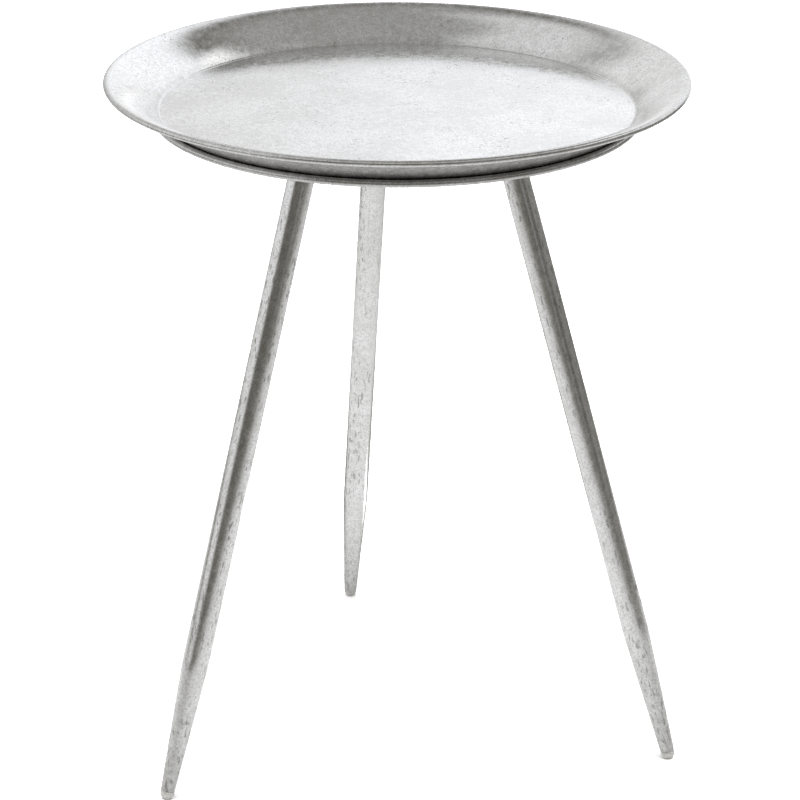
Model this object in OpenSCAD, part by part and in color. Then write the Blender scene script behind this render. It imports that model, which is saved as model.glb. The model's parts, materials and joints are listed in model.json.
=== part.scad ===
// Round tray table: a loose spun tray on a stand with three splayed, screw-on legs.
// The origin is on the floor, on the table's axis. +Z is up and the back leg leans along +Y.

/* [Overall] */
// Height of the tray's rim above the floor
table_h = 460; // [380:1:560]
// Diameter of the tray over its rolled edge
tray_d = 380; // [320:1:480]
// Diameter of the circle through the middles of the three feet
foot_circle_d = 394; // [330:1:480]

/* [Tray] */
// Thickness of the spun tray sheet
tray_t = 1.0; // [0.8:0.1:1.5]
// Depth of the tray from its rim to its floor
tray_depth = 21; // [15:1:30]
// Width of the flare, from the floor's edge to the rim
flare_w = 35; // [28:0.5:45]
// Steepness of the flare where it leaves the floor, in degrees
flare_start = 48; // [42:1:60]
// Steepness of the flare where it meets the rolled edge, in degrees
flare_end = 12; // [4:1:18]
// Radius of the bend between the floor and the flare
floor_bend_r = 3; // [2:0.5:4]
// Diameter of the wire rolled into the tray's edge
tray_wire_d = 2; // [1.6:0.1:3]

/* [Support plate] */
// Thickness of the support plate's sheet
plate_t = 1.2; // [1:0.1:2]
// Distance that the support plate's edge reaches past the tray's floor
plate_reach = 4; // [1:0.5:5]
// Diameter of the wire rolled into the support plate's edge
plate_wire_d = 2.5; // [2.2:0.1:3.4]
// Gap between the support plate's rolled edge and the tray's bend, which nests inside it
nest_gap = 0.35; // [0.3:0.05:1]
// Diameter of the anti-slip pads that the tray rests on
pad_d = 18; // [12:1:22]
// Distance from the support plate's edge to the middle of a pad
pad_inset = 26; // [20:1:34]

/* [Legs] */
// Diameter of a leg tube
leg_d = 17.5; // [15:0.5:22]
// Wall thickness of a leg tube
leg_wall = 1.5; // [1.2:0.1:2]
// Diameter of the circle where the legs' axes meet the support plate
leg_top_circle_d = 144; // [110:1:180]
// Length of the tapered end of a leg
taper_l = 88; // [60:1:120]
// Diameter of a leg tube at its tip
tip_d = 9.4; // [8:0.1:12]

/* [Leg fixings] */
// Diameter of a bracket's flange
flange_d = 50; // [46:1:64]
// Thickness of a bracket's flange
flange_t = 3; // [2:0.5:4]
// Length of a bracket's boss along the leg's axis
boss_l = 18; // [16:1:24]
// Thread diameter of the stud that joins a leg to its bracket
stud_d = 10; // [8:1:12]
// Length of the stud that is screwed into the bracket
stud_in_boss = 13; // [8:1:13]
// Length of the stud that is screwed into the leg
stud_in_leg = 20; // [12:1:24]
// Length of the threaded insert in the top of a leg
insert_l = 25; // [25:1:40]
// Thread diameter of the bracket screws
screw_d = 5; // [4:1:6]
// Length of a bracket screw under its head
screw_l = 12; // [12:1:16]
// Distance from a flange's edge to the middle of a screw
screw_inset = 6; // [6:0.5:6.5]

/* [Feet] */
// Length of the foot glide's stem inside the leg
glide_stem_l = 10; // [8:1:16]
// Length of the foot glide's straight collar below the leg
glide_collar_l = 1.5; // [1:0.1:3]
// Height of the glide dome's middle above the floor, less than its radius, so that it ends in a flat
glide_centre_h = 3.9; // [3.5:0.05:3.95]

/* [Fits] */
// Clearance between a screw and the hole that it passes through, on the radius
hole_clearance = 0.25; // [0.1:0.05:0.5]
// Interference of pressed and threaded pieces, on the radius
press = 0.02; // [0.01:0.01:0.04]
// Least clearance between a screw's head and the tray above it
head_gap = 0.4; // [0.3:0.1:1]

/* [Hidden] */
$fn = 96;

LEFT = 210;
RIGHT = 330;
BACK = 90;
LEGS = [LEFT, RIGHT, BACK];

// Fasteners, in the usual proportions to their thread.
screw_circle_r = flange_d / 2 - screw_inset;
screw_hole_d = screw_d + 2 * hole_clearance;
head_d = 1.9 * screw_d;
head_h = 0.55 * screw_d;
socket_d = 0.7 * screw_d;
washer_d = 2 * screw_d;
washer_t = 1;
nut_d = 1.85 * screw_d;
nut_h = 0.8 * screw_d;
nut_chamfer = 0.8;

// The tray's floor, and the bend around which the flare leaves it.
tray_floor_z = table_h - tray_depth;
tray_under_z = tray_floor_z - tray_t;
tray_floor_r = tray_d / 2 - flare_w;
floor_mid_z = tray_floor_z - tray_t / 2;
bend_run = floor_bend_r * tan(flare_start / 2);
bend_centre = [tray_floor_r - bend_run, floor_mid_z + floor_bend_r];

// Rolled edges: the middle of each wire, and the sheet's mid-line around it.
tray_bead_r = tray_wire_d / 2 + tray_t;
tray_roll_r = tray_wire_d / 2 + tray_t / 2;
tray_bead = [tray_d / 2 - tray_bead_r, table_h - tray_bead_r];
plate_bead_r = plate_wire_d / 2 + plate_t;
plate_roll_r = plate_wire_d / 2 + plate_t / 2;
plate_r = tray_floor_r + plate_reach;
roll_sweep = 290;

// The support plate's height: its edge clears the tray's bend, and its screw heads clear the floor.
// It is rounded down to a twentieth of a millimetre, so that the pads end exactly at the tray.
nest_l = floor_bend_r + tray_t / 2 + nest_gap + plate_bead_r;
nest_run = max(0, plate_r - plate_bead_r - bend_centre[0]);
nest_z = bend_centre[1] - sqrt(nest_l^2 - nest_run^2) - plate_bead_r;
plate_z = floor(20 * min(nest_z, tray_under_z - head_gap - head_h - plate_t)) / 20;
plate_top_z = plate_z + plate_t;
flange_z = plate_z - flange_t;
pad_h = tray_under_z - plate_top_z;
plate_bead = [plate_r - plate_bead_r, plate_z + plate_bead_r];

// The leg's axis, from the support plate's underside to the middle of its foot dome.
leg_run = foot_circle_d / 2 - leg_top_circle_d / 2;
leg_drop = plate_z - glide_centre_h;
splay = atan(leg_run / leg_drop);
leg_axis_l = norm([leg_run, leg_drop]);
leg_bore_d = leg_d - 2 * leg_wall;
tip_bore_d = tip_d - 2 * leg_wall;
leg_end = leg_axis_l - glide_collar_l;
boss_flare = 3.5;
stud_end_gap = 1.5;
glide_d = tip_d - 0.2;
pad_edge = 0.8;
overrun = 1;

// Points and directions in a profile, where x is the radius and y is the height.
function dir(a) = [cos(a), sin(a)];
function left_of(v) = [-v[1], v[0]] / norm(v);
function arc(centre, r, from, to, steps) =
    [for (i = [0 : steps]) centre + r * dir(from + (to - from) * i / steps)];
// Where the line through p along angle a meets the line through q along angle b.
function crossing(p, a, q, b) =
    p + dir(a) * ((q[0] - p[0]) * sin(b) - (q[1] - p[1]) * cos(b)) / sin(b - a);
function bend(p, q, r, steps) =
    [for (i = [1 : steps - 1]) let (t = i / steps) (1 - t)^2 * p + 2 * t * (1 - t) * q + t^2 * r];
// A sheet's outline: its mid-line moved half a thickness to each side.
function path_dir(path, i) = path[min(i + 1, len(path) - 1)] - path[max(i - 1, 0)];
function side(path, off) = [for (i = [0 : len(path) - 1]) path[i] + off * left_of(path_dir(path, i))];
function reversed(list) = [for (i = [len(list) - 1 : -1 : 0]) list[i]];
function sheet(path, t) = concat(side(path, t / 2), reversed(side(path, -t / 2)));

// The tray's mid-line: floor, bend, trumpet flare, and the roll over and under the wire.
bend_end = bend_centre + floor_bend_r * dir(flare_start - 90);
flare_top = tray_bead + tray_roll_r * dir(90 + flare_end);
tray_path = concat(
    [[0, floor_mid_z]],
    arc(bend_centre, floor_bend_r, -90, flare_start - 90, 4),
    bend(bend_end, crossing(bend_end, flare_start, flare_top, flare_end), flare_top, 10),
    arc(tray_bead, tray_roll_r, 90 + flare_end, 90 + flare_end - roll_sweep, 16));

// The support plate's mid-line: flat, then rolled up and over its wire.
plate_mid_z = plate_z + plate_t / 2;
plate_path = concat(
    [[0, plate_mid_z]],
    arc(plate_bead, plate_roll_r, -90, roll_sweep - 90, 16));

// Puts its children on a leg's axis, with z = 0 at the support plate's underside and -z down the leg.
module on_leg(angle) {
    rotate([0, 0, angle])
        translate([leg_top_circle_d / 2, 0, plate_z])
            rotate([0, -splay, 0])
                children();
}

// Puts its children at each bracket screw of one leg, at height z.
module at_leg_screws(angle, z) {
    rotate([0, 0, angle])
        translate([leg_top_circle_d / 2, 0, z])
            for (a = [60, 180, 300])
                rotate([0, 0, a])
                    translate([screw_circle_r, 0, 0])
                        children();
}

module at_all_screws(z) {
    for (angle = LEGS)
        at_leg_screws(angle, z)
            children();
}

module edge_wire(bead, d) {
    rotate_extrude()
        translate(bead)
            circle(d = d);
}

module tray_pan() {
    color("gainsboro")
        rotate_extrude()
            polygon(sheet(tray_path, tray_t));
}

module tray_edge_wire() {
    color("dimgray")
        edge_wire(tray_bead, tray_wire_d + 2 * press);
}

module support_plate() {
    color("silver")
        difference() {
            rotate_extrude()
                polygon(sheet(plate_path, plate_t));
            at_all_screws(plate_z - overrun)
                cylinder(d = screw_hole_d, h = plate_t + 2 * overrun);
        }
}

module plate_edge_wire() {
    color("dimgray")
        edge_wire(plate_bead, plate_wire_d + 2 * press);
}

// Anti-slip pads, stuck to the support plate on both sides of each leg.
module tray_pads() {
    color("darkslategray")
        for (angle = LEGS, turn = [-30, 30])
            rotate([0, 0, angle + turn])
                translate([plate_r - pad_inset, 0, plate_top_z]) {
                    cylinder(d = pad_d, h = pad_h - pad_edge);
                    translate([0, 0, pad_h - pad_edge])
                        cylinder(d1 = pad_d, d2 = pad_d - 2 * pad_edge, h = pad_edge);
                }
}

// Button-head screws with a hexagon socket.
module bracket_screws() {
    color("gray")
        at_all_screws(plate_top_z)
            difference() {
                union() {
                    translate([0, 0, -screw_l])
                        cylinder(d = screw_d, h = screw_l);
                    cylinder(d = head_d, h = head_h / 3);
                    translate([0, 0, head_h / 3])
                        cylinder(d1 = head_d, d2 = head_d / 2, h = 2 * head_h / 3);
                }
                translate([0, 0, head_h / 3])
                    cylinder(d = socket_d, h = head_h, $fn = 6);
            }
}

module bracket_washers() {
    color("darkgray")
        at_all_screws(flange_z - washer_t)
            difference() {
                cylinder(d = washer_d, h = washer_t);
                translate([0, 0, -overrun])
                    cylinder(d = screw_hole_d, h = washer_t + 2 * overrun);
            }
}

// Hexagon nuts with their corners turned off.
module bracket_nuts() {
    color("gray")
        at_all_screws(flange_z - washer_t - nut_h)
            difference() {
                intersection() {
                    cylinder(d = nut_d, h = nut_h, $fn = 6);
                    cylinder(d1 = nut_d - nut_chamfer, d2 = nut_d + nut_h - nut_chamfer, h = nut_h);
                }
                translate([0, 0, -overrun])
                    cylinder(d = screw_d - 2 * press, h = nut_h + 2 * overrun);
            }
}

// A cast bracket: a screwed flange and an angled boss with a blind threaded hole.
module leg_bracket(angle) {
    color("darkgray")
        difference() {
            union() {
                rotate([0, 0, angle])
                    translate([leg_top_circle_d / 2, 0, flange_z])
                        cylinder(d = flange_d, h = flange_t);
                difference() {
                    on_leg(angle)
                        translate([0, 0, -boss_l])
                            cylinder(d1 = leg_d, d2 = leg_d + 2 * boss_flare, h = 2 * boss_l);
                    translate([0, 0, plate_z - flange_t / 2])
                        cylinder(d = 2 * foot_circle_d, h = 2 * boss_l + leg_d);
                }
            }
            on_leg(angle)
                translate([0, 0, -boss_l - overrun])
                    cylinder(d = stud_d - 2 * press, h = overrun + stud_in_boss + stud_end_gap);
            at_leg_screws(angle, flange_z - overrun)
                cylinder(d = screw_hole_d, h = flange_t + 2 * overrun);
        }
}

// The headless threaded stud between a bracket and its leg.
module leg_stud(angle) {
    color("gray")
        on_leg(angle)
            translate([0, 0, -boss_l - stud_in_leg])
                cylinder(d = stud_d, h = stud_in_leg + stud_in_boss);
}

// The threaded plug pressed into the top of a leg tube.
module leg_insert(angle) {
    color("darkgray")
        on_leg(angle)
            translate([0, 0, -boss_l - insert_l])
                difference() {
                    cylinder(d = leg_bore_d + 2 * press, h = insert_l);
                    translate([0, 0, -overrun])
                        cylinder(d = stud_d - 2 * press, h = insert_l + 2 * overrun);
                }
}

// A straight tube that tapers like a pencil to its tip.
module leg_tube(angle) {
    color("lightgray")
        on_leg(angle)
            rotate_extrude()
                polygon([
                    [tip_d / 2, -leg_end],
                    [leg_d / 2, taper_l - leg_end],
                    [leg_d / 2, -boss_l],
                    [leg_bore_d / 2, -boss_l],
                    [leg_bore_d / 2, taper_l - leg_end],
                    [tip_bore_d / 2, glide_stem_l - leg_end],
                    [tip_bore_d / 2, -leg_end]]);
}

// A domed foot plug, flat where it stands on the floor.
module foot_glide(angle) {
    color("slategray")
        difference() {
            on_leg(angle) {
                translate([0, 0, -leg_axis_l])
                    sphere(d = glide_d);
                translate([0, 0, -leg_axis_l])
                    cylinder(d = glide_d, h = glide_collar_l);
                translate([0, 0, -leg_axis_l])
                    cylinder(d = tip_bore_d + 2 * press, h = glide_collar_l + glide_stem_l);
            }
            rotate([0, 0, angle])
                translate([foot_circle_d / 2, 0, -glide_d])
                    cylinder(d = 3 * glide_d, h = glide_d);
        }
}

tray_pan();
tray_edge_wire();
support_plate();
plate_edge_wire();
tray_pads();
bracket_screws();
bracket_washers();
bracket_nuts();
leg_bracket(LEFT);  // leg_bracket_left
leg_bracket(RIGHT);  // leg_bracket_right
leg_bracket(BACK);  // leg_bracket_back
leg_stud(LEFT);  // leg_stud_left
leg_stud(RIGHT);  // leg_stud_right
leg_stud(BACK);  // leg_stud_back
leg_insert(LEFT);  // leg_insert_left
leg_insert(RIGHT);  // leg_insert_right
leg_insert(BACK);  // leg_insert_back
leg_tube(LEFT);  // leg_tube_left
leg_tube(RIGHT);  // leg_tube_right
leg_tube(BACK);  // leg_tube_back
foot_glide(LEFT);  // foot_glide_left
foot_glide(RIGHT);  // foot_glide_right
foot_glide(BACK);  // foot_glide_back
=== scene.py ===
"""A round antique-silver tray table: detailed meshes, materials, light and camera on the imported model."""
import json
import math
from collections import namedtuple

import bmesh
import bpy
from mathutils import Matrix, Vector, noise

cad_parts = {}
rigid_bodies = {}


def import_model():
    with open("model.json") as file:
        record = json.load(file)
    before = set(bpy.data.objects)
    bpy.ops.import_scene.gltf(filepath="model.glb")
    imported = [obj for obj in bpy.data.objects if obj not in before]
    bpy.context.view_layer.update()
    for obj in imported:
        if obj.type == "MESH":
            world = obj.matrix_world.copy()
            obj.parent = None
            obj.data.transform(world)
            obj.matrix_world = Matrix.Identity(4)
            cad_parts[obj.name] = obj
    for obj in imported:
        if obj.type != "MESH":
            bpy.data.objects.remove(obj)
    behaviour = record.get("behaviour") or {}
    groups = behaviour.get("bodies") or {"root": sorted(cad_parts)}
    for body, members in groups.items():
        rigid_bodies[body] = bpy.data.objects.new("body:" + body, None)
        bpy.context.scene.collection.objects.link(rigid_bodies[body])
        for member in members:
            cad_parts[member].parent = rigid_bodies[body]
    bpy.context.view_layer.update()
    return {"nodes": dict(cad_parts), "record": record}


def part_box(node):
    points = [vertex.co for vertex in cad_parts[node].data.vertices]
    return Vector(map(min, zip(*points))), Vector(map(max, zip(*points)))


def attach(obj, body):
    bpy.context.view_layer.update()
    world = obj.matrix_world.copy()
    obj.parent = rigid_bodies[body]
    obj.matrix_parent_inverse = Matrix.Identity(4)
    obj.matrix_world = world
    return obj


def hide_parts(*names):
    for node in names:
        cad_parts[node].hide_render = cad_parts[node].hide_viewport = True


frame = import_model()
mounts = {m["name"]: m for m in frame["record"]["mounts"]}

MM = 0.001
LEGS = ("left", "right", "back")

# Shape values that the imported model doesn't state, as in the part's own design.
FLARE_START = math.radians(48)
FLARE_END = math.radians(12)
FLOOR_BEND = 3 * MM
ROLL_SWEEP = math.radians(290)
LEG_TAPER = 88 * MM
LEG_WALL = 1.5 * MM
STUD_HOLE_R = 5 * MM
THREAD_R = 2.5 * MM
HOLE_R = 2.75 * MM
SOCKET_R = 1.75 * MM

# Details of the visual model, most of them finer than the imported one.
BOSS_SPREAD = 1.75 * MM
BOSS_FILLET = 2.4 * MM
STUD_HOLE_DEPTH = 14.5 * MM
THREAD_DEPTH = 0.42 * MM
THREAD_PITCH = 0.8 * MM
SOCKET_DEPTH = 1.85 * MM
PAD_EDGE = 0.8 * MM
PAD_GROOVES = (6.6 * MM, 4.8 * MM, 3 * MM)
GROOVE_R = 0.35 * MM
WASHER_EDGE = 0.15 * MM
NUT_CHAMFER = 0.3 * MM
NUT_SLOPE = 0.6
SHOULDER_LENGTH = 6 * MM
PLUG_LENGTH = 10 * MM
FLANGE_EDGE = 0.8 * MM

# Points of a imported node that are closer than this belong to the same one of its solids.
FASTENER_GAP = 12 * MM
SCREW_GAP = 20 * MM
PAD_GAP = 25 * MM

# Smoothness: steps in a whole turn of three kinds of piece, in an edge's roll, and in a thread's pitch.
TURN_STEPS = 360
TUBE_STEPS = 96
SMALL_STEPS = 48
ROLL_STEPS = 36
THREAD_STEPS = 8

# Points of a drilled mesh that lie closer than this are one point.
JOIN_DISTANCE = 0.004 * MM

# A point of an outline at a smaller radius is on the axis.
ON_AXIS = 1e-7

# Points of a packed tube within this distance of its end belong to its end ring.
END_BAND = 0.5 * MM

# The hand-finished tray is slightly wavy, except at its rim.
WAVE_HEIGHT = 0.07 * MM
WAVE_LENGTH = 55 * MM
WAVE_FADE = 30 * MM


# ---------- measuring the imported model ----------

def points_of(node):
    return [v.co.copy() for v in frame["nodes"][node].data.vertices]


def middle_of(points):
    return Vector([(min(p[i] for p in points) + max(p[i] for p in points)) / 2 for i in range(3)])


def turned_ring(node):
    """(radius, height) of the middle of a wire ring about the table's axis, and the wire's radius."""
    low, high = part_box(node)
    section = (high.z - low.z) / 2
    return Vector((high.x - section, low.z + section)), section


def flat_radius(node, height):
    """How far a turned piece stays flat at that height."""
    return max(math.hypot(p.x, p.y) for p in points_of(node) if abs(p.z - height) < 0.01 * MM)


def off_axis(point, start, along):
    """How far a point lies from the line that runs from start along a direction."""
    return (point - start - along * (point - start).dot(along)).length


Leg = namedtuple("Leg", "foot top along length top_r tip_r place")


def measure_leg(side):
    """A packed leg: its foot on the floor, its tube's upper end, direction, length and radii.

    place is the frame on the tube's axis, with its origin at the upper end and -Z down the leg.
    """
    foot = Vector(mounts["foot_" + side]["pos_m"])
    points = points_of("leg_tube_" + side)
    low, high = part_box("leg_tube_" + side)
    along = (foot - (low + high) / 2).normalized()
    rings = []
    for sign in (-1, 1):
        end = max(sign * p.dot(along) for p in points)
        rings.append([p for p in points if sign * p.dot(along) > end - END_BAND])
    top, tip = (middle_of(ring) for ring in rings)
    along = (tip - top).normalized()
    top_r = max(off_axis(p, top, along) for p in rings[0])
    tip_r = max(off_axis(p, tip, along) for p in rings[1])
    place = Matrix.Translation(top) @ (-along).to_track_quat("Z", "Y").to_matrix().to_4x4()
    return Leg(foot, top, along, (tip - top).length, top_r, tip_r, place)


def separate_parts(node, gap):
    """The middle and the radius of each of a node's separate solids.

    Points closer than the gap are taken to be of the same solid.
    """
    groups = []
    for p in points_of(node):
        home = next((g for g in groups if (g[0] - p).length < gap), None)
        if home is None:
            groups.append([p])
        else:
            home.append(p)
    return [(middle_of(g), max((p - middle_of(g)).xy.length for p in g)) for g in groups]


def screw_places():
    """Where the screws go through the plate and the brackets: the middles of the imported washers."""
    return [part[0] for part in separate_parts("bracket_washers", FASTENER_GAP)]


# ---------- mesh building ----------

def around(steps):
    """The angles of evenly spaced points of a circle."""
    return [2 * math.pi * i / steps for i in range(steps)]


def circle(radius, height, steps):
    return [Vector((radius * math.cos(a), radius * math.sin(a), height)) for a in around(steps)]


def skin(mesh, rings, closed):
    """Joins rings of points with faces: each ring has the same number of points, or one point."""
    made = [[mesh.verts.new(p) for p in ring] for ring in rings]
    pairs = list(zip(made, made[1:]))
    if closed:
        pairs.append((made[-1], made[0]))
    steps = max(len(ring) for ring in made)
    for here, there in pairs:
        if len(here) == 1 and len(there) == 1:
            continue
        for i in range(steps):
            j = (i + 1) % steps
            corners = [here[i % len(here)], here[j % len(here)], there[j % len(there)], there[i % len(there)]]
            mesh.faces.new([v for k, v in enumerate(corners) if v not in corners[:k]])


def turn(mesh, outline, steps):
    """Turns a (radius, height) outline about Z. It is a closed one, or starts and ends on the axis."""
    rings = [circle(r, z, steps) if r > ON_AXIS else [Vector((0, 0, z))] for r, z in outline]
    skin(mesh, rings, closed=outline[0][0] > ON_AXIS or outline[-1][0] > ON_AXIS)


def moved(mesh, matrix):
    """The same bmesh, moved to its place in a group."""
    bmesh.ops.transform(mesh, matrix=matrix, verts=mesh.verts)
    return mesh


def gather(meshes):
    """One bmesh of several, which are freed."""
    whole = bmesh.new()
    for part in meshes:
        data = bpy.data.meshes.new("part")
        part.to_mesh(data)
        part.free()
        whole.from_mesh(data)
        bpy.data.meshes.remove(data)
    return whole


def drilled(data, holes):
    """The mesh with vertical round holes cut through it: each hole is (middle, radius, length)."""
    cutter = bmesh.new()
    for middle, radius, length in holes:
        half = length / 2
        rings = [[Vector((0, 0, -half))], circle(radius, -half, SMALL_STEPS),
                 circle(radius, half, SMALL_STEPS), [Vector((0, 0, half))]]
        skin(cutter, [[middle + p for p in ring] for ring in rings], closed=False)
    bmesh.ops.recalc_face_normals(cutter, faces=cutter.faces)
    cutter_data = bpy.data.meshes.new("cutter")
    cutter.to_mesh(cutter_data)
    cutter.free()
    scene = bpy.context.scene.collection.objects
    blank = bpy.data.objects.new("blank", data)
    tool = bpy.data.objects.new("tool", cutter_data)
    scene.link(blank)
    scene.link(tool)
    cut = blank.modifiers.new("cut", "BOOLEAN")
    cut.object = tool
    cut.operation = "DIFFERENCE"
    cut.solver = "EXACT"
    result = bpy.data.meshes.new_from_object(blank.evaluated_get(bpy.context.evaluated_depsgraph_get()))
    bpy.data.objects.remove(blank)
    bpy.data.objects.remove(tool)
    clean = bmesh.new()
    clean.from_mesh(result)
    bmesh.ops.remove_doubles(clean, verts=clean.verts, dist=JOIN_DISTANCE)
    bmesh.ops.dissolve_degenerate(clean, edges=clean.edges, dist=JOIN_DISTANCE)
    clean.to_mesh(result)
    clean.free()
    return result


def no_dirt(point):
    return 0


def make_piece(name, mesh, place=Matrix.Identity(4), dirt_and_shade=no_dirt, holes=(), smooth_angle=35):
    """Turns a bmesh in the piece's own frame into an object in place.

    The mesh keeps each point's place in the piece's own frame, in millimetres, as "grain", and how much
    it is darkened, from 0 to 1, as "dirt_and_shade": dirt on most pieces, painted shade on the tray's
    underside.
    """
    bmesh.ops.recalc_face_normals(mesh, faces=mesh.faces)
    data = bpy.data.meshes.new(name)
    mesh.to_mesh(data)
    mesh.free()
    if holes:
        data = drilled(data, holes)
        data.name = name
    grain = data.attributes.new("grain", "FLOAT_VECTOR", "POINT")
    grain.data.foreach_set("vector", [c / MM for v in data.vertices for c in v.co])
    # How much each point is darkened: dirt on most pieces, painted shade on the tray's underside.
    soil_and_shade = data.attributes.new("dirt_and_shade", "FLOAT", "POINT")
    soil_and_shade.data.foreach_set("value", [dirt_and_shade(v.co) for v in data.vertices])
    data.transform(place)
    for face in data.polygons:
        face.use_smooth = True
    data.set_sharp_from_angle(angle=math.radians(smooth_angle))
    piece = bpy.data.objects.new(name, data)
    bpy.context.scene.collection.objects.link(piece)
    return piece


def direction(angle):
    return Vector((math.cos(angle), math.sin(angle)))


def arc(centre, radius, start, end, steps):
    """Points of a flat arc from one angle to another."""
    return [Vector(centre) + radius * direction(start + (end - start) * i / steps) for i in range(steps + 1)]


def crossing(p, a, q, b):
    """Where the line through p along angle a meets the line through q along angle b."""
    return p + direction(a) * (((q.x - p.x) * math.sin(b) - (q.y - p.y) * math.cos(b)) / math.sin(b - a))


def bezier(p, q, r, steps):
    """The inner points of a quadratic curve from p to r."""
    return [(1 - t) ** 2 * p + 2 * t * (1 - t) * q + t * t * r for t in (i / steps for i in range(1, steps))]


def sheet_outline(path, thickness):
    """The closed outline of a sheet whose mid-line is path, with both sides half a thickness away."""
    sides = [[], []]
    for i, point in enumerate(path):
        along = path[min(i + 1, len(path) - 1)] - path[max(i - 1, 0)]
        normal = Vector((-along.y, along.x)).normalized() * thickness / 2
        sides[0].append(point + normal)
        sides[1].append(point - normal)
    return sides[0] + sides[1][::-1]


def flat_run(radius, height, step):
    """Points along a flat floor from the axis outwards, without its last one."""
    count = round(radius / step)
    return [Vector((radius * i / count, height)) for i in range(count)]


def height_at(path, radius):
    """The height of an outward path at that radius."""
    p, q = next(((p, q) for p, q in zip(path, path[1:]) if p.x <= radius <= q.x), path[-2:])
    return p.y + (q.y - p.y) * (radius - p.x) / (q.x - p.x)


def near(value, target, width):
    """1 at the target, fading to 0 at that distance from it."""
    return max(0, 1 - abs(value - target) / width)


def make_wavy(mesh, rim):
    """Moves a round sheet's points up and down a little, both of its sides alike and its rim not at all."""
    for vertex in mesh.verts:
        place = Vector((vertex.co.x, vertex.co.y, 0))
        fade = 1 - near(place.length, rim, WAVE_FADE)
        vertex.co.z += fade * WAVE_HEIGHT * noise.noise(place / WAVE_LENGTH)


# ---------- tray ----------

def make_tray():
    bead = turned_ring("tray_edge_wire")[0]
    floor_z = mounts["tray_floor"]["pos_m"][2]
    low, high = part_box("tray_pan")
    thickness = floor_z - low.z
    middle = floor_z - thickness / 2
    roll = min(high.x - bead.x, high.z - bead.y) - thickness / 2
    flat = flat_radius("tray_pan", floor_z - thickness)
    bend_centre = Vector((flat, middle + FLOOR_BEND))
    bend_end = bend_centre + FLOOR_BEND * direction(FLARE_START - math.pi / 2)
    top = bead + roll * direction(math.pi / 2 + FLARE_END)
    corner = crossing(bend_end, FLARE_START, top, FLARE_END)
    path = flat_run(flat, middle, 5 * MM)
    path += arc(bend_centre, FLOOR_BEND, -math.pi / 2, FLARE_START - math.pi / 2, 8)
    path += bezier(bend_end, corner, top, 30)
    path += arc(bead, roll, math.pi / 2 + FLARE_END, math.pi / 2 + FLARE_END - ROLL_SWEEP, ROLL_STEPS)
    mesh = bmesh.new()
    turn(mesh, sheet_outline(path, thickness), TURN_STEPS)
    make_wavy(mesh, high.x)

    # How dark each point is made: dirt at the rim and in the crease inside the tray, and painted shade on the
    # underside.
    def dirt_and_shade(point):
        radius = point.xy.length
        at_rim = 0.7 * near(radius, bead.x + roll, 4 * MM)
        if point.z > height_at(path, radius):
            return max(at_rim, 0.35 * near(radius, bend_end.x, 2.5 * MM))
        # Painted shade: the whole underside is darkened, most towards the bend above the plate's ring.
        return 0.55 + 0.65 * near(radius, bend_end.x, 24 * MM)

    return make_piece("tray", mesh, dirt_and_shade=dirt_and_shade)


# ---------- support plate and its pads ----------

def make_plate():
    bead, wire = turned_ring("plate_edge_wire")
    low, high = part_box("support_plate")
    thickness = (high.z - low.z) / 2 - wire
    roll = wire + thickness / 2
    path = flat_run(bead.x, low.z + thickness / 2, 8 * MM)
    path += arc(bead, roll, -math.pi / 2, ROLL_SWEEP - math.pi / 2, ROLL_STEPS)
    mesh = bmesh.new()
    turn(mesh, sheet_outline(path, thickness), TURN_STEPS)
    holes = [(Vector((p.x, p.y, low.z)), HOLE_R, 8 * MM) for p in screw_places()]

    def dirt_and_shade(point):
        return near(point.xy.length, bead.x - wire, 6 * MM)

    return make_piece("plate", mesh, dirt_and_shade=dirt_and_shade, holes=holes)


def make_pads():
    low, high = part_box("tray_pads")
    height = high.z - low.z
    pads = []
    for middle, radius in separate_parts("tray_pads", PAD_GAP):
        outline = [Vector((0, 0)), Vector((radius - 0.3 * MM, 0)), Vector((radius, 0.3 * MM))]
        outline += arc((radius - PAD_EDGE, height - PAD_EDGE), PAD_EDGE, 0, math.pi / 2, 6)
        for groove in PAD_GROOVES:
            outline += arc((groove, height), GROOVE_R, 0, -math.pi, 6)
        outline.append(Vector((0, height)))
        mesh = bmesh.new()
        turn(mesh, outline, SMALL_STEPS)
        pads.append(moved(mesh, Matrix.Translation((middle.x, middle.y, low.z))))
    return make_piece("pads", gather(pads))


# ---------- fasteners ----------

def hexagon(corner_radius, height, steps):
    """A hexagon's outline as a ring of points. Where six divides the steps, each corner has a point."""
    flat = corner_radius * math.cos(math.pi / 6)
    ring = []
    for a in around(steps):
        radius = flat / math.cos(a % (math.pi / 3) - math.pi / 6)
        ring.append(Vector((radius * math.cos(a), radius * math.sin(a), height)))
    return ring


def thread_ring(height, strength):
    """One level of a screw thread: its radius swings once along each turn of the helix."""
    ring = []
    for a in around(SMALL_STEPS):
        phase = (height / THREAD_PITCH - a / (2 * math.pi)) % 1
        radius = THREAD_R - THREAD_DEPTH * strength * abs(2 * phase - 1)
        ring.append(Vector((radius * math.cos(a), radius * math.sin(a), height)))
    return ring


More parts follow.
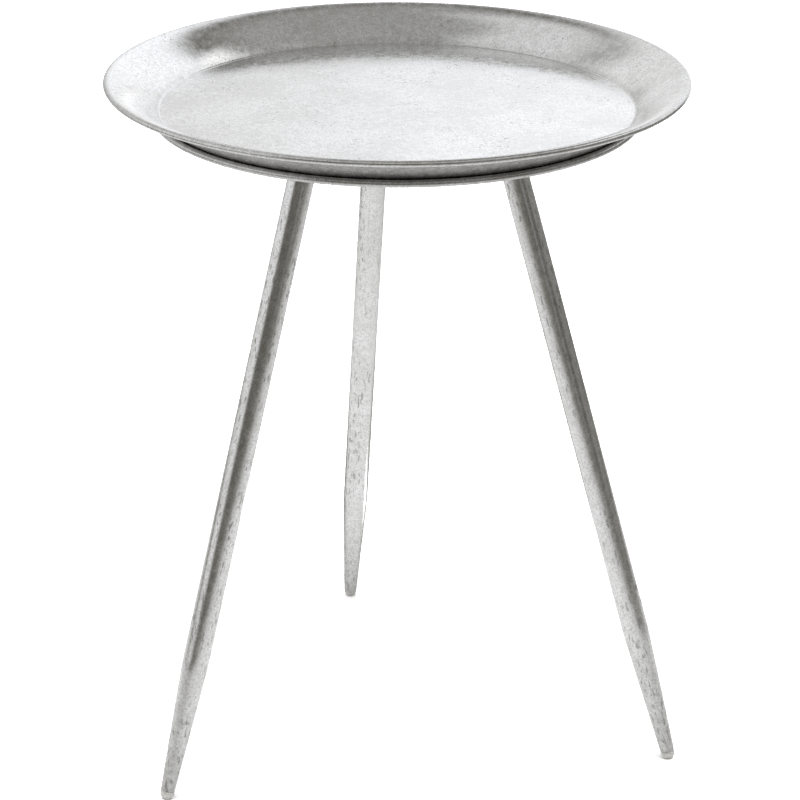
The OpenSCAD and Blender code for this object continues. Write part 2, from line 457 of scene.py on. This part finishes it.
def screw_rings(shank, head_r, head_h):
    """A button-head screw from its tip at the height shank to its socket, with its head's seat at 0."""
    step = THREAD_PITCH / THREAD_STEPS
    levels = round((-shank - 1.2 * MM) / step)
    rings = [[Vector((0, 0, shank))], circle(THREAD_R - THREAD_DEPTH - 0.4 * MM, shank, SMALL_STEPS)]
    for k in range(levels + 1):
        strength = min(1, (levels - k) / THREAD_STEPS, (k + THREAD_STEPS / 2) / THREAD_STEPS)
        rings.append(thread_ring(shank + 0.5 * MM + k * step, strength))
    outline = [(THREAD_R, 0), (head_r - 0.25 * MM, 0)]
    outline += arc((head_r - 0.35 * MM, 0.5 * MM), 0.35 * MM, 0, math.pi / 4, 3)
    dome = (Vector((head_r - 0.35 * MM, 0.85 * MM)), Vector((head_r - 1.6 * MM, head_h - 0.1 * MM)),
            Vector((2.5 * MM, head_h)))
    outline += bezier(*dome, 8) + [dome[2]]
    rings += [circle(r, z, SMALL_STEPS) for r, z in outline]
    floor = head_h - SOCKET_DEPTH
    for radius, height in ((SOCKET_R + 0.15 * MM, head_h), (SOCKET_R, head_h - 0.15 * MM), (SOCKET_R, floor)):
        rings.append(hexagon(radius, height, SMALL_STEPS))
    return rings + [[Vector((0, 0, floor - 0.3 * MM))]]


def make_screws():
    low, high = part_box("bracket_screws")
    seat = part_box("tray_pads")[0].z
    screws = []
    for i, (middle, head_r) in enumerate(separate_parts("bracket_screws", SCREW_GAP)):
        mesh = bmesh.new()
        skin(mesh, screw_rings(low.z - seat, head_r, high.z - seat), closed=False)
        turned = Matrix.Rotation(i * 0.7, 4, "Z")
        screws.append(moved(mesh, Matrix.Translation((middle.x, middle.y, seat)) @ turned))
    return make_piece("screws", gather(screws))


def make_washers():
    low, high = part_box("bracket_washers")
    thick = high.z - low.z
    edge = WASHER_EDGE
    washers = []
    for middle, radius in separate_parts("bracket_washers", FASTENER_GAP):
        outline = [(HOLE_R, edge), (HOLE_R + edge, 0), (radius - edge, 0), (radius, edge),
                   (radius, thick - edge), (radius - edge, thick),
                   (HOLE_R + edge, thick), (HOLE_R, thick - edge)]
        mesh = bmesh.new()
        turn(mesh, outline, SMALL_STEPS)
        washers.append(moved(mesh, Matrix.Translation((middle.x, middle.y, low.z))))
    return make_piece("washers", gather(washers))


def nut_rings(corner, height, steps):
    """A hexagon nut with both faces chamfered to a cone, and a plain bore."""
    waist = corner * math.cos(math.pi / 6) - 0.1 * MM
    levels = [0.1 * MM * k for k in range(8)]
    levels += [height - level for level in reversed(levels)]
    rings = [circle(THREAD_R + NUT_CHAMFER, 0, steps)]
    for level in levels:
        limit = waist + min(level, height - level) / NUT_SLOPE
        ring = hexagon(corner, level, steps)
        rings.append([Vector((*(p.xy.normalized() * min(p.xy.length, limit)), level)) for p in ring])
    bore = ((THREAD_R + NUT_CHAMFER, height), (THREAD_R, height - NUT_CHAMFER), (THREAD_R, NUT_CHAMFER))
    return rings + [circle(r, z, steps) for r, z in bore]


def make_nuts():
    low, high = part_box("bracket_nuts")
    nuts = []
    for i, (middle, corner) in enumerate(separate_parts("bracket_nuts", FASTENER_GAP)):
        mesh = bmesh.new()
        skin(mesh, nut_rings(corner, high.z - low.z, 2 * SMALL_STEPS), closed=True)
        turned = Matrix.Rotation(0.3 + i * 0.8, 4, "Z")
        nuts.append(moved(mesh, Matrix.Translation((middle.x, middle.y, low.z)) @ turned))
    return make_piece("nuts", gather(nuts), smooth_angle=25)


# ---------- legs, feet and brackets ----------

def make_leg(side):
    leg = measure_leg(side)
    edge = 0.3 * MM
    tip_edge = 0.4 * MM
    straight = leg.length - LEG_TAPER
    slope = (leg.tip_r - leg.top_r) / LEG_TAPER
    shoulder = Vector((leg.top_r, -straight))
    bore = leg.top_r - LEG_WALL
    tip_bore = leg.tip_r - LEG_WALL
    outline = [Vector((bore, 0)), Vector((leg.top_r - edge, 0)), Vector((leg.top_r, -edge))]
    outline += [Vector((leg.top_r, -edge - (straight - edge) * i / 60)) for i in range(1, 60)]
    outline += bezier(shoulder + Vector((0, SHOULDER_LENGTH)), shoulder,
                      shoulder + SHOULDER_LENGTH * Vector((slope, -1)), 8)
    outline += [shoulder + Vector((slope * d, -d)) for d in (LEG_TAPER * i / 20 for i in range(2, 20))]
    outline += [Vector((leg.tip_r, tip_edge - leg.length)), Vector((leg.tip_r - tip_edge, -leg.length)),
                Vector((tip_bore, -leg.length)), Vector((tip_bore, PLUG_LENGTH - leg.length)),
                Vector((bore, -straight))]
    mesh = bmesh.new()
    turn(mesh, outline, TUBE_STEPS)

    def dirt_and_shade(point):
        at_tip = near(point.z, -leg.length, 14 * MM)
        on_taper = 0.8 * near(point.z, -leg.length, LEG_TAPER)
        at_bracket = near(point.z, 0, 10 * MM)
        return max(at_tip, on_taper, at_bracket)

    return make_piece("leg_" + side, mesh, leg.place, dirt_and_shade)


def make_glide(side):
    """A domed plug in a leg's tip, with a flat where it meets the floor."""
    leg = measure_leg(side)
    tip = leg.top + leg.along * leg.length
    collar = (leg.foot - tip).xy.dot(leg.along.xy) / leg.along.xy.length_squared
    radius = max(off_axis(p, tip, leg.along) for p in points_of("foot_glide_" + side))
    bore = leg.tip_r - LEG_WALL
    end = -leg.length
    centre = end - collar
    groove = Vector((radius - GROOVE_R, centre + 0.35 * collar))
    outline = [Vector((0, end + PLUG_LENGTH)), Vector((bore - 0.6 * MM, end + PLUG_LENGTH)),
               Vector((bore, end + PLUG_LENGTH - 1 * MM)), Vector((bore, end)),
               Vector((radius - 0.2 * MM, end)), Vector((radius, end - 0.2 * MM)),
               Vector((radius, groove.y + 0.3 * MM)), groove]
    outline += arc((0, centre), radius, 0, -math.pi / 2, 24)[1:-1] + [Vector((0, centre - radius))]
    mesh = bmesh.new()
    turn(mesh, outline, SMALL_STEPS)
    floor_point = leg.place.inverted() @ leg.foot
    floor_normal = leg.place.to_3x3().inverted() @ Vector((0, 0, -1))
    everything = mesh.verts[:] + mesh.edges[:] + mesh.faces[:]
    cut = bmesh.ops.bisect_plane(mesh, geom=everything, plane_co=floor_point, plane_no=floor_normal,
                                 clear_outer=True)
    bmesh.ops.contextual_create(mesh, geom=[e for e in cut["geom_cut"] if isinstance(e, bmesh.types.BMEdge)])

    def dirt_and_shade(point):
        return near(point.z, centre - radius, 3 * MM)

    return make_piece("foot_glide_" + side + "_turned", mesh, leg.place, dirt_and_shade)


def make_bracket(side):
    """A flange with a tilted boss, in a frame at the flange's top: +X outwards, +Z up."""
    leg = measure_leg(side)
    low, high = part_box("leg_bracket_" + side)
    outward = Vector((leg.along.x, leg.along.y, 0)).normalized()
    start = leg.top - leg.along * (leg.top.z - high.z) / leg.along.z
    boss = (leg.top - start).length
    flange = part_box("bracket_washers")[1].z - high.z
    flange_r = (high - low).x / 2
    splay = math.atan2(leg.along.xy.length, -leg.along.z)
    axis = Vector((math.sin(splay), 0, -math.cos(splay)))
    cross = Vector((math.cos(splay), 0, math.sin(splay)))

    def on_boss(t, radius, angle):
        """A point at a distance t down the boss, at a radius from its axis."""
        return t * axis + radius * (math.cos(angle) * cross + math.sin(angle) * Vector((0, 1, 0)))

    def boss_radius(t):
        return leg.top_r + BOSS_SPREAD * (1 - t / boss)

    def boss_ring(t, radius):
        return [on_boss(t, radius, a) for a in around(TUBE_STEPS)]

    rings = [[Vector((0, 0, 0))], circle(flange_r * 0.5, 0, TUBE_STEPS)]
    outer = arc((flange_r - FLANGE_EDGE, -FLANGE_EDGE), FLANGE_EDGE, math.pi / 2, 0, 4)
    outer += arc((flange_r - FLANGE_EDGE, flange + FLANGE_EDGE), FLANGE_EDGE, 0, -math.pi / 2, 4)
    rings += [circle(r, z, TUBE_STEPS) for r, z in outer]
    fillets = []
    for a in around(TUBE_STEPS):
        meet = (-flange + boss_radius(0) * math.cos(a) * math.sin(splay)) / math.cos(splay)
        corner = on_boss(meet, boss_radius(meet), a)
        toe = corner + BOSS_FILLET * Vector((math.cos(a), math.sin(a), 0))
        heel = on_boss(meet + BOSS_FILLET, boss_radius(meet + BOSS_FILLET), a)
        fillets.append([toe] + bezier(toe, corner, heel, 6) + [heel])
    rings += zip(*fillets)
    for t in (boss - 4 * MM, boss - 0.5 * MM):
        rings.append(boss_ring(t, boss_radius(t)))
    hole_end = boss - STUD_HOLE_DEPTH
    rings += [boss_ring(boss, boss_radius(boss) - 0.5 * MM), boss_ring(boss, STUD_HOLE_R + 0.4 * MM),
              boss_ring(boss - 0.4 * MM, STUD_HOLE_R), boss_ring(hole_end, STUD_HOLE_R),
              [axis * (hole_end - 1.2 * MM)]]
    mesh = bmesh.new()
    skin(mesh, rings, closed=False)
    facing = outward.to_track_quat("X", "Z").to_matrix().to_4x4()
    home = Matrix.Translation((start.x, start.y, high.z)) @ facing
    screws = [home.inverted() @ p for p in screw_places()]
    holes = [(Vector((p.x, p.y, 0)), HOLE_R, 12 * MM) for p in screws if p.xy.length < flange_r]

    def dirt_and_shade(point):
        return 0.9 * near(point.z, flange, 2.5 * MM)

    return make_piece("bracket_" + side, mesh, home, dirt_and_shade, holes)


# ---------- materials ----------

class Look:
    """A material's node tree, and short ways to add to it."""

    def __init__(self, name):
        self.material = bpy.data.materials.new(name)
        self.material.use_nodes = True
        self.tree = self.material.node_tree
        self.shader = self.tree.nodes["Principled BSDF"]

    def node(self, kind, values, **settings):
        """Adds a node, with its inputs by name or number, and returns its first output."""
        made = self.tree.nodes.new("ShaderNode" + kind)
        for key, value in settings.items():
            setattr(made, key, value)
        for key, value in values.items():
            self.feed(made.inputs[key], value)
        return made.outputs[0]

    def feed(self, socket, value):
        if isinstance(value, bpy.types.NodeSocket):
            self.tree.links.new(value, socket)
        else:
            socket.default_value = value

    def math(self, operation, a, b=0.0, clamp=False):
        return self.node("Math", {0: a, 1: b}, operation=operation, use_clamp=clamp)

    def noise(self, place, per_mm, detail=3.0, rough=0.55):
        """Noise with that many waves in a millimetre."""
        return self.node("TexNoise", {"Vector": place, "Scale": per_mm, "Detail": detail, "Roughness": rough})

    def step(self, value, low, high, out_low=0.0, out_high=1.0):
        """A smooth step from out_low below low to out_high above high."""
        made = self.tree.nodes.new("ShaderNodeMapRange")
        made.interpolation_type = "SMOOTHSTEP"
        for key, number in zip(("From Min", "From Max", "To Min", "To Max"), (low, high, out_low, out_high)):
            made.inputs[key].default_value = number
        self.tree.links.new(value, made.inputs["Value"])
        return made.outputs["Result"]

    def mix(self, share, a, b):
        """Colour a where the share is 0, and b where it is 1."""
        made = self.tree.nodes.new("ShaderNodeMix")
        made.data_type = "RGBA"
        self.feed(made.inputs["Factor"], share)
        self.feed(made.inputs["A"], a)
        self.feed(made.inputs["B"], b)
        return made.outputs["Result"]

    def distance(self, place, middle):
        made = self.tree.nodes.new("ShaderNodeVectorMath")
        made.operation = "DISTANCE"
        made.inputs[1].default_value = middle
        self.tree.links.new(place, made.inputs[0])
        return made.outputs["Value"]

    def disc(self, place, middle, inside, outside):
        """1 within one distance of a point, and 0 beyond the other."""
        return self.step(self.distance(place, middle), inside, outside, 1, 0)

    def stretch(self, place, x, y, z, turn=0.0):
        return self.node("Mapping", {"Vector": place, "Scale": (x, y, z), "Rotation": (0, 0, turn)})

    def bump(self, height, distance, below=None):
        values = {"Height": height, "Distance": distance, "Strength": 1.0}
        if below is not None:
            values["Normal"] = below
        return self.node("Bump", values)

    def finish(self, colour, rough, normal, metallic):
        self.shader.inputs["Metallic"].default_value = metallic
        self.feed(self.shader.inputs["Base Color"], colour)
        self.feed(self.shader.inputs["Roughness"], rough)
        self.feed(self.shader.inputs["Normal"], normal)
        return self.material

    def grain(self):
        """The point's place in its piece's own frame, in millimetres."""
        made = self.tree.nodes.new("ShaderNodeAttribute")
        made.attribute_name = "grain"
        return made.outputs["Vector"]

    def object_place(self):
        """The point's place in the table's frame, in millimetres, for pieces that come from the CAD."""
        made = self.tree.nodes.new("ShaderNodeTexCoord")
        per_mm = (1 / MM, 1 / MM, 1 / MM)
        return self.node("VectorMath", {0: made.outputs["Object"], 1: per_mm}, operation="MULTIPLY")

    # How much a point is darkened: dirt on most pieces, painted shade on the tray's underside.
    def dirt_and_shade(self):
        made = self.tree.nodes.new("ShaderNodeAttribute")
        made.attribute_name = "dirt_and_shade"
        return made.outputs["Fac"]


def grey(value, warmth=0.0):
    """A silver tone: warmth above 0 takes some blue away."""
    return (value * (1 + 0.3 * warmth), value, value * (1 - warmth), 1)


WORN_LEAF = grey(0.16, 0.10)
# Dark tone for dirt on the leaf, and for the painted shade on the tray's underside.
LEAF_SOIL_AND_SHADE = grey(0.13, 0.12)
CASTING_SOIL = grey(0.10, 0.12)
FLOOR_SOIL = grey(0.12, 0.15)


def silver_leaf(name, light, shade, rough, flecks, length_share, wave):
    """Antique silver leaf: cloudy, mottled, flecked where the leaf has worn, darkened by dirt in its corners
    and by painted shade on the tray's underside.

    flecks is how much of the surface has dark flecks, length_share stretches them along the piece, and
    wave is the height of the slow waves that bend its reflections.
    """
    look = Look(name)
    place = look.grain()
    clouds = look.noise(place, 0.022, 4)
    mottle = look.noise(place, 0.2, 5, 0.75)
    speckle = look.noise(place, 0.75, 2, 0.6)
    long_place = look.stretch(place, 1, 1, length_share)
    fleck_noise = look.noise(long_place, 0.55, 3, 0.6)
    patches = look.noise(long_place, 0.045, 2)
    scratch_a = look.noise(look.stretch(place, 2.2, 0.05, length_share, 0.5), 0.9, 1)
    scratch_b = look.noise(look.stretch(place, 2.0, 0.04, length_share, -0.9), 0.8, 1)
    tone = look.math("ADD", look.math("MULTIPLY", clouds, 0.35), look.math("MULTIPLY", mottle, 0.65))
    colour = look.mix(look.step(tone, 0.42, 0.58), grey(shade, 0.01), grey(light, -0.004))
    colour = look.mix(look.step(speckle, 0.36, 0.56, 0.7, 0), colour, grey(shade * 0.80, 0.01))
    worn = look.math("MULTIPLY", look.step(fleck_noise, 0.60 - flecks, 0.70 - flecks),
                     look.step(patches, 0.47 - 2 * flecks, 0.66 - 2 * flecks))
    dots = look.step(look.noise(place, 0.8, 1), 0.74, 0.80)
    worn = look.math("MAXIMUM", worn, look.math("MULTIPLY", dots, 0.6))
    lines = look.math("ADD", look.step(scratch_a, 0.70, 0.76), look.step(scratch_b, 0.71, 0.77), clamp=True)
    # Darkening mask: dirt on most pieces, painted shade on the tray's underside.
    soil_and_shade = look.math("MULTIPLY", look.dirt_and_shade(), look.step(look.noise(place, 0.28, 4, 0.7), 0.34, 0.64, 0.5, 1))
    colour = look.mix(look.math("MULTIPLY", lines, 0.12), colour, grey(shade * 0.75))
    colour = look.mix(look.math("MULTIPLY", worn, 0.58), colour, WORN_LEAF)
    # Darkens the leaf where the mask says: dirt, and painted shade on the tray's underside.
    colour = look.mix(look.math("MULTIPLY", soil_and_shade, 0.55), colour, LEAF_SOIL_AND_SHADE)
    roughness = look.math("ADD", look.step(mottle, 0.3, 0.7, rough - 0.05, rough + 0.06),
                          look.math("MULTIPLY", look.math("MAXIMUM", worn, soil_and_shade), 0.22))
    waves = look.bump(look.noise(place, 0.028, 2), wave)
    fine = look.bump(mottle, 0.011 * MM, waves)
    pits = look.bump(look.math("ADD", worn, look.math("MULTIPLY", lines, 0.3)), -0.012 * MM, fine)
    return look.finish(colour, roughness, pits, 1.0)


def cast_silver(name):
    """The same finish over a sand casting: rougher, with a fine orange-peel surface."""
    look = Look(name)
    place = look.grain()
    peel = look.noise(place, 1.1, 3, 0.6)
    clouds = look.noise(place, 0.08, 3)
    soil_and_shade = look.math("MULTIPLY", look.dirt_and_shade(), look.step(look.noise(place, 0.5, 3), 0.3, 0.6))
    colour = look.mix(look.step(clouds, 0.35, 0.65), grey(0.44, 0.05), grey(0.62, 0.03))
    colour = look.mix(look.step(peel, 0.56, 0.70), colour, grey(0.30, 0.08))
    colour = look.mix(look.math("MULTIPLY", soil_and_shade, 0.7), colour, CASTING_SOIL)
    rough = look.step(peel, 0.3, 0.7, 0.34, 0.5)
    normal = look.bump(peel, 0.05 * MM, look.bump(clouds, 0.2 * MM))
    return look.finish(colour, rough, normal, 1.0)


def zinc(name, place_of):
    """Zinc plate: bluish grey with a faint crystal pattern, dull in spots."""
    look = Look(name)
    place = place_of(look)
    crystals = look.node("TexVoronoi", {"Vector": place, "Scale": 0.9})
    spots = look.noise(place, 0.5, 4, 0.65)
    colour = look.mix(look.step(spots, 0.35, 0.65), (0.50, 0.52, 0.55, 1), (0.68, 0.69, 0.70, 1))
    colour = look.mix(look.step(spots, 0.62, 0.74), colour, (0.34, 0.33, 0.30, 1))
    rough = look.step(crystals, 0.1, 0.7, 0.24, 0.42)
    normal = look.bump(spots, 0.012 * MM)
    return look.finish(colour, rough, normal, 1.0)


def drawn_steel(name):
    """Bare drawn wire: dark grey with fine lines and a little rust."""
    look = Look(name)
    place = look.object_place()
    lines = look.noise(look.stretch(place, 0.1, 0.1, 3), 1.2, 3, 0.7)
    rust = look.step(look.noise(place, 0.12, 5, 0.7), 0.58, 0.72)
    colour = look.mix(look.step(lines, 0.3, 0.7), (0.30, 0.30, 0.29, 1), (0.48, 0.47, 0.45, 1))
    colour = look.mix(look.math("MULTIPLY", rust, 0.6), colour, (0.20, 0.11, 0.06, 1))
    rough = look.math("ADD", look.step(lines, 0.3, 0.7, 0.28, 0.42), look.math("MULTIPLY", rust, 0.25))
    normal = look.bump(lines, 0.015 * MM)
    return look.finish(colour, rough, normal, 1.0)


def rubber(name):
    """Black rubber with a bloom of dust and a fine moulded texture."""
    look = Look(name)
    place = look.grain()
    dust = look.noise(place, 0.25, 5, 0.7)
    skin_noise = look.noise(place, 2.2, 2)
    colour = look.mix(look.step(dust, 0.42, 0.75), (0.028, 0.028, 0.029, 1), (0.10, 0.098, 0.094, 1))
    rough = look.step(dust, 0.3, 0.7, 0.55, 0.8)
    normal = look.bump(skin_noise, 0.04 * MM)
    return look.finish(colour, rough, normal, 0.0)


def painted_nylon(name):
    """Silver-grey moulded nylon: slightly mottled, scuffed and dirty where it touches the floor."""
    look = Look(name)
    place = look.grain()
    mottle = look.noise(place, 0.7, 4, 0.6)
    colour = look.mix(look.step(mottle, 0.35, 0.65), grey(0.40, 0.05), grey(0.55, 0.03))
    scuff = look.math("MULTIPLY", look.dirt_and_shade(), look.step(look.noise(place, 1.4, 3), 0.3, 0.6))
    colour = look.mix(look.math("MULTIPLY", scuff, 0.7), colour, FLOOR_SOIL)
    rough = look.math("ADD", look.step(mottle, 0.3, 0.7, 0.34, 0.48), look.math("MULTIPLY", scuff, 0.25))
    normal = look.bump(mottle, 0.02 * MM)
    return look.finish(colour, rough, normal, 0.35)


# ---------- assembly ----------

def paint(piece, material):
    piece.data.materials.clear()
    piece.data.materials.append(material)


def fit(piece, material, body, node):
    """Gives a detailed piece its material, and lets it stand for its CAD node."""
    paint(piece, material)
    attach(piece, body)
    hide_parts(node)


tray_silver = silver_leaf("antique_silver_tray", light=1.0, shade=0.82, rough=0.16, flecks=0.01,
                          length_share=1, wave=0.10 * MM)
plate_silver = silver_leaf("antique_silver_plate", light=0.84, shade=0.70, rough=0.20, flecks=0.01,
                           length_share=1, wave=0.10 * MM)
leg_silver = silver_leaf("antique_silver_leg", light=0.90, shade=0.78, rough=0.17, flecks=0.055,
                         length_share=0.3, wave=0.12 * MM)
bracket_silver = cast_silver("antique_silver_casting")
fastener_zinc = zinc("fastener_zinc_plate", Look.grain)
stud_zinc = zinc("stud_zinc_plate", Look.object_place)
steel = drawn_steel("drawn_steel")
pad_rubber = rubber("black_rubber")
nylon = painted_nylon("silver_grey_nylon")

fit(make_tray(), tray_silver, "tray", "tray_pan")
fit(make_plate(), plate_silver, "stand", "support_plate")
fit(make_pads(), pad_rubber, "stand", "tray_pads")
fit(make_screws(), fastener_zinc, "stand", "bracket_screws")
fit(make_washers(), fastener_zinc, "stand", "bracket_washers")
fit(make_nuts(), fastener_zinc, "stand", "bracket_nuts")
for side in LEGS:
    fit(make_bracket(side), bracket_silver, "stand", "leg_bracket_" + side)
    fit(make_leg(side), leg_silver, "stand", "leg_tube_" + side)
    fit(make_glide(side), nylon, "stand", "foot_glide_" + side)
    paint(frame["nodes"]["leg_stud_" + side], stud_zinc)
    paint(frame["nodes"]["leg_insert_" + side], steel)
for wire in ("tray_edge_wire", "plate_edge_wire"):
    paint(frame["nodes"][wire], steel)


# ---------- studio ----------

def stage_plane(name, low, high, height):
    mesh = bpy.data.meshes.new(name)
    corners = [(low[0], low[1], height), (high[0], low[1], height), (high[0], high[1], height),
               (low[0], high[1], height)]
    mesh.from_pydata(corners, [], [(0, 1, 2, 3)])
    plane = bpy.data.objects.new(name, mesh)
    bpy.context.scene.collection.objects.link(plane)
    return plane


FLOOR_REACH = 30
FLOOR_TONE = (0.9, 0.9, 0.9, 1)
FLOOR_ROUGHNESS = 0.9
SWEEP_CORNERS = ((-3.5, -3.5), (3.5, 1.3))
SWEEP_BRIGHT = grey(0.88)
SWEEP_FAR = grey(0.18, 0.12)


def make_floor():
    """A pale floor for the eye, and above it the floor as the metal sees it, which darkens further out."""
    floor = stage_plane("floor", (-FLOOR_REACH, -FLOOR_REACH), (FLOOR_REACH, FLOOR_REACH), 0)
    pale = bpy.data.materials.new("pale_floor")
    pale.use_nodes = True
    pale.node_tree.nodes["Principled BSDF"].inputs["Base Color"].default_value = FLOOR_TONE
    pale.node_tree.nodes["Principled BSDF"].inputs["Roughness"].default_value = FLOOR_ROUGHNESS
    paint(floor, pale)
    floor.visible_glossy = False

    sweep = stage_plane("sweep_seen_by_metal", *SWEEP_CORNERS, 0.3 * MM)
    sweep.visible_camera = False
    sweep.visible_diffuse = False
    sweep.visible_shadow = False
    sweep.visible_transmission = False
    look = Look("sweep")
    place = look.tree.nodes.new("ShaderNodeTexCoord").outputs["Object"]
    far = look.step(look.distance(place, (-0.1, 0.1, 0)), 0.1, 1.95)
    tone = look.mix(far, SWEEP_BRIGHT, SWEEP_FAR)
    shade_behind = look.disc(place, (0.06, 0.48, 0), 0.2, 0.34)
    tone = look.mix(shade_behind, tone, grey(0.36, 0.05))
    spot_beside_back_leg = look.disc(place, (0.135, 0.21, 0), 0.03, 0.06)
    tone = look.mix(spot_beside_back_leg, tone, grey(2.0))
    glow = look.tree.nodes.new("ShaderNodeEmission")
    look.tree.links.new(tone, glow.inputs["Color"])
    out = look.tree.nodes["Material Output"]
    look.tree.links.new(glow.outputs[0], out.inputs["Surface"])
    paint(sweep, look.material)


# The studio around the table as soft panels, each over those before it. measured_from says whether the
# sides are angles from straight behind the table or from straight in front of it, positive towards +X.
# Sides, heights above the horizon, and the widths of the soft edges are in degrees.
ALL_ROUND = (-400, 400)
BOTTOM = -200
TOP = 200
BASE_TONE = grey(0.13, 0.12)
CAMERA_TONE = grey(1.05)
Panel = namedtuple("Panel", "measured_from sides heights soft_sides soft_heights tone")
PANELS = (
    Panel("front", ALL_ROUND, (48, TOP), 1, 10, grey(0.33, 0.03)),
    Panel("front", (-70, 70), (27, 58), 15, 8, grey(0.60, 0.02)),
    Panel("front", (55, 140), (BOTTOM, 24), 8, 8, grey(0.24, 0.05)),
    Panel("front", (-125, -57), (BOTTOM, 48), 15, 8, grey(0.80)),
    Panel("back", (-110, 45), (BOTTOM, 36), 6, 8, grey(0.80)),
    Panel("back", (-120, -7), (40, 69), 8, 6, grey(0.66)),
    Panel("back", (-45, -9), (-8, 12), 4, 4, grey(0.48)),
    Panel("back", (9, 80), (10, 38), 5, 5, grey(1.08, -0.03)),
    Panel("back", (10, 38), (BOTTOM, 6), 4, 4, grey(1.3)),
    Panel("back", (62, 112), (27, 46), 5, 4, grey(1.15)),
    Panel("front", (14, 30), (-30, 30), 6, 6, grey(0.25)),
)


class Sky(Look):
    """The studio's walls as directions around the table, in degrees."""

    def __init__(self, world):
        world.use_nodes = True
        self.tree = world.node_tree
        self.shade = self.tree.nodes["Background"]
        place = self.tree.nodes.new("ShaderNodeTexCoord").outputs["Generated"]
        parts = self.tree.nodes.new("ShaderNodeSeparateXYZ")
        self.tree.links.new(place, parts.inputs[0])
        x, y, z = (parts.outputs[i] for i in range(3))
        self.up = self.degrees(self.math("ARCSINE", z))
        self.sideways = {
            "back": self.degrees(self.math("ARCTAN2", x, y)),
            "front": self.degrees(self.math("ARCTAN2", x, self.math("MULTIPLY", y, -1)))}

    def degrees(self, angle):
        return self.math("MULTIPLY", angle, 180 / math.pi)

    def band(self, angle, low, high, soft):
        """1 between low and high, and 0 outside, with soft edges."""
        rise = self.step(angle, low - soft, low + soft)
        fall = self.step(angle, high - soft, high + soft, 1, 0)
        return self.math("MULTIPLY", rise, fall)

    def over(self, tone, panel):
        """The tone with a panel over it."""
        across = self.band(self.sideways[panel.measured_from], *panel.sides, panel.soft_sides)
        upright = self.band(self.up, *panel.heights, panel.soft_heights)
        return self.mix(self.math("MULTIPLY", across, upright), tone, panel.tone)


def make_world():
    """The panels as the metal mirrors them, and a plain white for the camera."""
    world = bpy.data.worlds.new("studio")
    sky = Sky(world)
    tone = BASE_TONE
    for panel in PANELS:
        tone = sky.over(tone, panel)
    camera_ray = sky.tree.nodes.new("ShaderNodeLightPath").outputs["Is Camera Ray"]
    tone = sky.mix(camera_ray, tone, CAMERA_TONE)
    sky.tree.links.new(tone, sky.shade.inputs["Color"])
    sky.shade.inputs["Strength"].default_value = 1
    bpy.context.scene.world = world


OVERHEAD_ENERGY = 6.5
OVERHEAD_WIDTH = math.radians(60)


def make_floor_light():
    """A soft overhead light that brightens the floor and the dull pieces, and that metal doesn't mirror."""
    lamp = bpy.data.lights.new("overhead", "SUN")
    lamp.energy = OVERHEAD_ENERGY
    lamp.angle = OVERHEAD_WIDTH
    light = bpy.data.objects.new("overhead", lamp)
    light.visible_glossy = False
    bpy.context.scene.collection.objects.link(light)


# The camera's direction seen from the table, its distance from the axis and height, and how it is turned.
CAMERA_AZIMUTH = math.radians(-10.02)
CAMERA_OUT = 2.0117
CAMERA_UP = 1.025
CAMERA_DOWN = math.radians(21.468)
CAMERA_TURN = math.radians(-0.07)
CAMERA_ROLL = math.radians(0.2)
CAMERA_LENS = 144.6


def make_camera():
    camera = bpy.data.objects.new("camera", bpy.data.cameras.new("camera"))
    bpy.context.scene.collection.objects.link(camera)
    camera.data.lens = CAMERA_LENS
    spot = (CAMERA_OUT * math.sin(CAMERA_AZIMUTH), -CAMERA_OUT * math.cos(CAMERA_AZIMUTH), CAMERA_UP)
    camera.matrix_world = (
        Matrix.Translation(spot)
        @ Matrix.Rotation(CAMERA_AZIMUTH + CAMERA_TURN, 4, "Z")
        @ Matrix.Rotation(math.pi / 2 - CAMERA_DOWN, 4, "X")
        @ Matrix.Rotation(CAMERA_ROLL, 4, "Z"))
    bpy.context.scene.camera = camera


make_floor()
make_world()
make_floor_light()
make_camera()
bpy.context.scene.view_settings.view_transform = "Standard"
